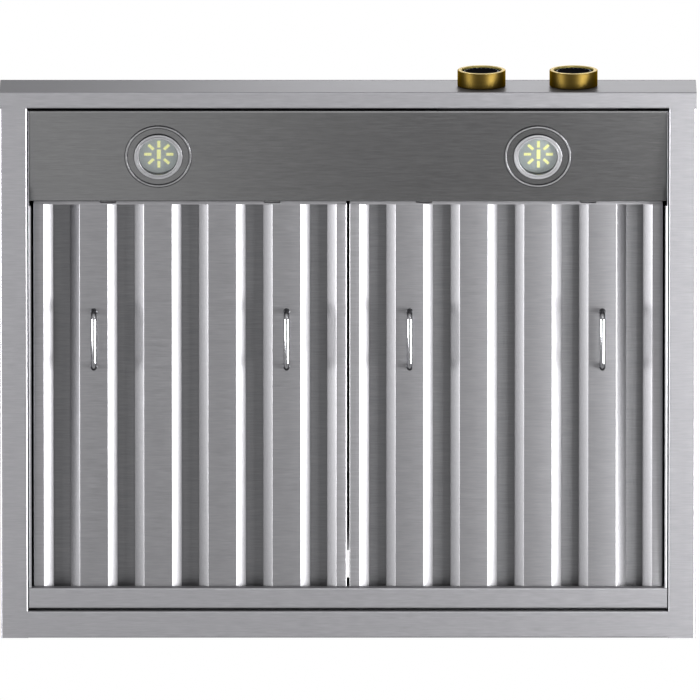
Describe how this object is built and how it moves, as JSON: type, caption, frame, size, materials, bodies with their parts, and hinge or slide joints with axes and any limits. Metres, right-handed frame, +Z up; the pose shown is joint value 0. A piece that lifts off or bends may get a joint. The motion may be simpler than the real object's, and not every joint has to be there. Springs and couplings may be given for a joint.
{
  "type": "wall mount range hood",
  "caption": "Wall mount range hood: rim with sloped light panel and baffle filters, pyramid canopy, telescoping chimney cover, blower, duct collar with backdraft flaps and turning knobs.",
  "frame": {"origin": "centre of the pattern of wall holes, on the wall plane at the back of the hood", "axes": "+X to the right seen from the front, +Y into the wall, +Z up"},
  "size_m": [0.762, 0.6276, 0.742],
  "materials": {
    "brushed_steel": "horizontal brushed grain",
    "filter_steel": "brushed, bright folds",
    "liner_steel": "plain, darker",
    "chrome": "polished",
    "handle_chrome": "polished wire",
    "gold": "brushed round the axis",
    "black_glass": "gloss, bare",
    "lens": "clear",
    "lamp_board": "white board with pale yellow chips",
    "galvanised": "galvanised, slightly mottled",
    "blower_sheet": "grey, matt",
    "impeller": "dark moulded",
    "motor": "grey lacquer",
    "shaft_steel": "ground",
    "black_plastic": "fine texture",
    "white_plastic": "fine texture",
    "circuit_board": "green laminate",
    "spring_steel": "plain",
    "screw_steel": "zinc plated",
    "collar_plastic": "fine texture",
    "flap": "plain sheet"
  },
  "bodies": {
    "hood": {"front_fascia": "brushed_steel", "side_lip_left": "brushed_steel", "side_lip_right": "brushed_steel", "back_panel": "galvanised", "canopy_shell": "brushed_steel", "chimney_lower": "brushed_steel", "chimney_screws": "screw_steel", "light_panel": "brushed_steel", "side_rail_left": "liner_steel", "side_rail_right": "liner_steel", "grease_channel": "brushed_steel", "filter_catches": "spring_steel", "led_driver": "white_plastic", "lamp_bezels": "chrome", "lamp_lenses": "lens", "lamp_boards": "lamp_board", "lamp_housings": "black_plastic", "knob_faces": "black_glass", "knob_encoders": "black_plastic", "control_box": "black_plastic", "control_board": "circuit_board", "junction_box": "galvanised", "cable_gland": "black_plastic", "capacitor": "white_plastic", "blower_scroll": "blower_sheet", "blower_side_left": "blower_sheet", "blower_side_right": "blower_sheet", "motor": "motor", "motor_bracket": "galvanised", "blower_feet": "galvanised", "blower_screws": "screw_steel", "outlet_adapter": "galvanised", "duct_collar": "collar_plastic", "damper_rod": "shaft_steel"},
    "filter_left": {"filter_frame_left": "filter_steel", "front_baffles_left": "filter_steel", "rear_baffles_left": "filter_steel", "filter_handles_left": "handle_chrome"},
    "filter_right": {"filter_frame_right": "filter_steel", "front_baffles_right": "filter_steel", "rear_baffles_right": "filter_steel", "filter_handles_right": "handle_chrome"},
    "fan_knob": {"knob_ring_fan": "gold"},
    "light_knob": {"knob_ring_light": "gold"},
    "wheel": {"impeller_disc": "impeller", "impeller_blades": "impeller", "impeller_rings": "impeller", "motor_shaft": "shaft_steel"},
    "upper_cover": {"chimney_upper": "brushed_steel", "ceiling_bracket": "galvanised"},
    "flap_front": {"damper_flap_front": "flap"},
    "flap_rear": {"damper_flap_rear": "flap"}
  },
  "joints": [
    {"name": "filter_left_tilt", "type": "hinge", "parent": "hood", "child": "filter_left", "pos_m": [-0.17305, -0.056, -0.1187], "axis": [1, 0, 0], "range_deg": [0, 75]},
    {"name": "filter_right_tilt", "type": "hinge", "parent": "hood", "child": "filter_right", "pos_m": [0.17305, -0.056, -0.1187], "axis": [1, 0, 0], "range_deg": [0, 75]},
    {"name": "fan_knob_turn", "type": "hinge", "parent": "hood", "child": "fan_knob", "pos_m": [0.146, -0.61, -0.09], "axis": [0, -1, 0], "continuous": true},
    {"name": "light_knob_turn", "type": "hinge", "parent": "hood", "child": "light_knob", "pos_m": [0.2467, -0.61, -0.09], "axis": [0, -1, 0], "continuous": true},
    {"name": "wheel_spin", "type": "hinge", "parent": "hood", "child": "wheel", "pos_m": [0, -0.15, 0.182], "axis": [1, 0, 0], "continuous": true},
    {"name": "upper_cover_slide", "type": "slide", "parent": "hood", "child": "upper_cover", "axis": [0, 0, 1], "range_m": [0, 0.32]},
    {"name": "flap_front_swing", "type": "hinge", "parent": "hood", "child": "flap_front", "pos_m": [0, -0.1, 0.389], "axis": [-1, 0, 0], "range_deg": [0, 80]},
    {"name": "flap_rear_swing", "type": "hinge", "parent": "hood", "child": "flap_rear", "pos_m": [0, -0.1, 0.389], "axis": [1, 0, 0], "range_deg": [0, 80]}
  ]
}
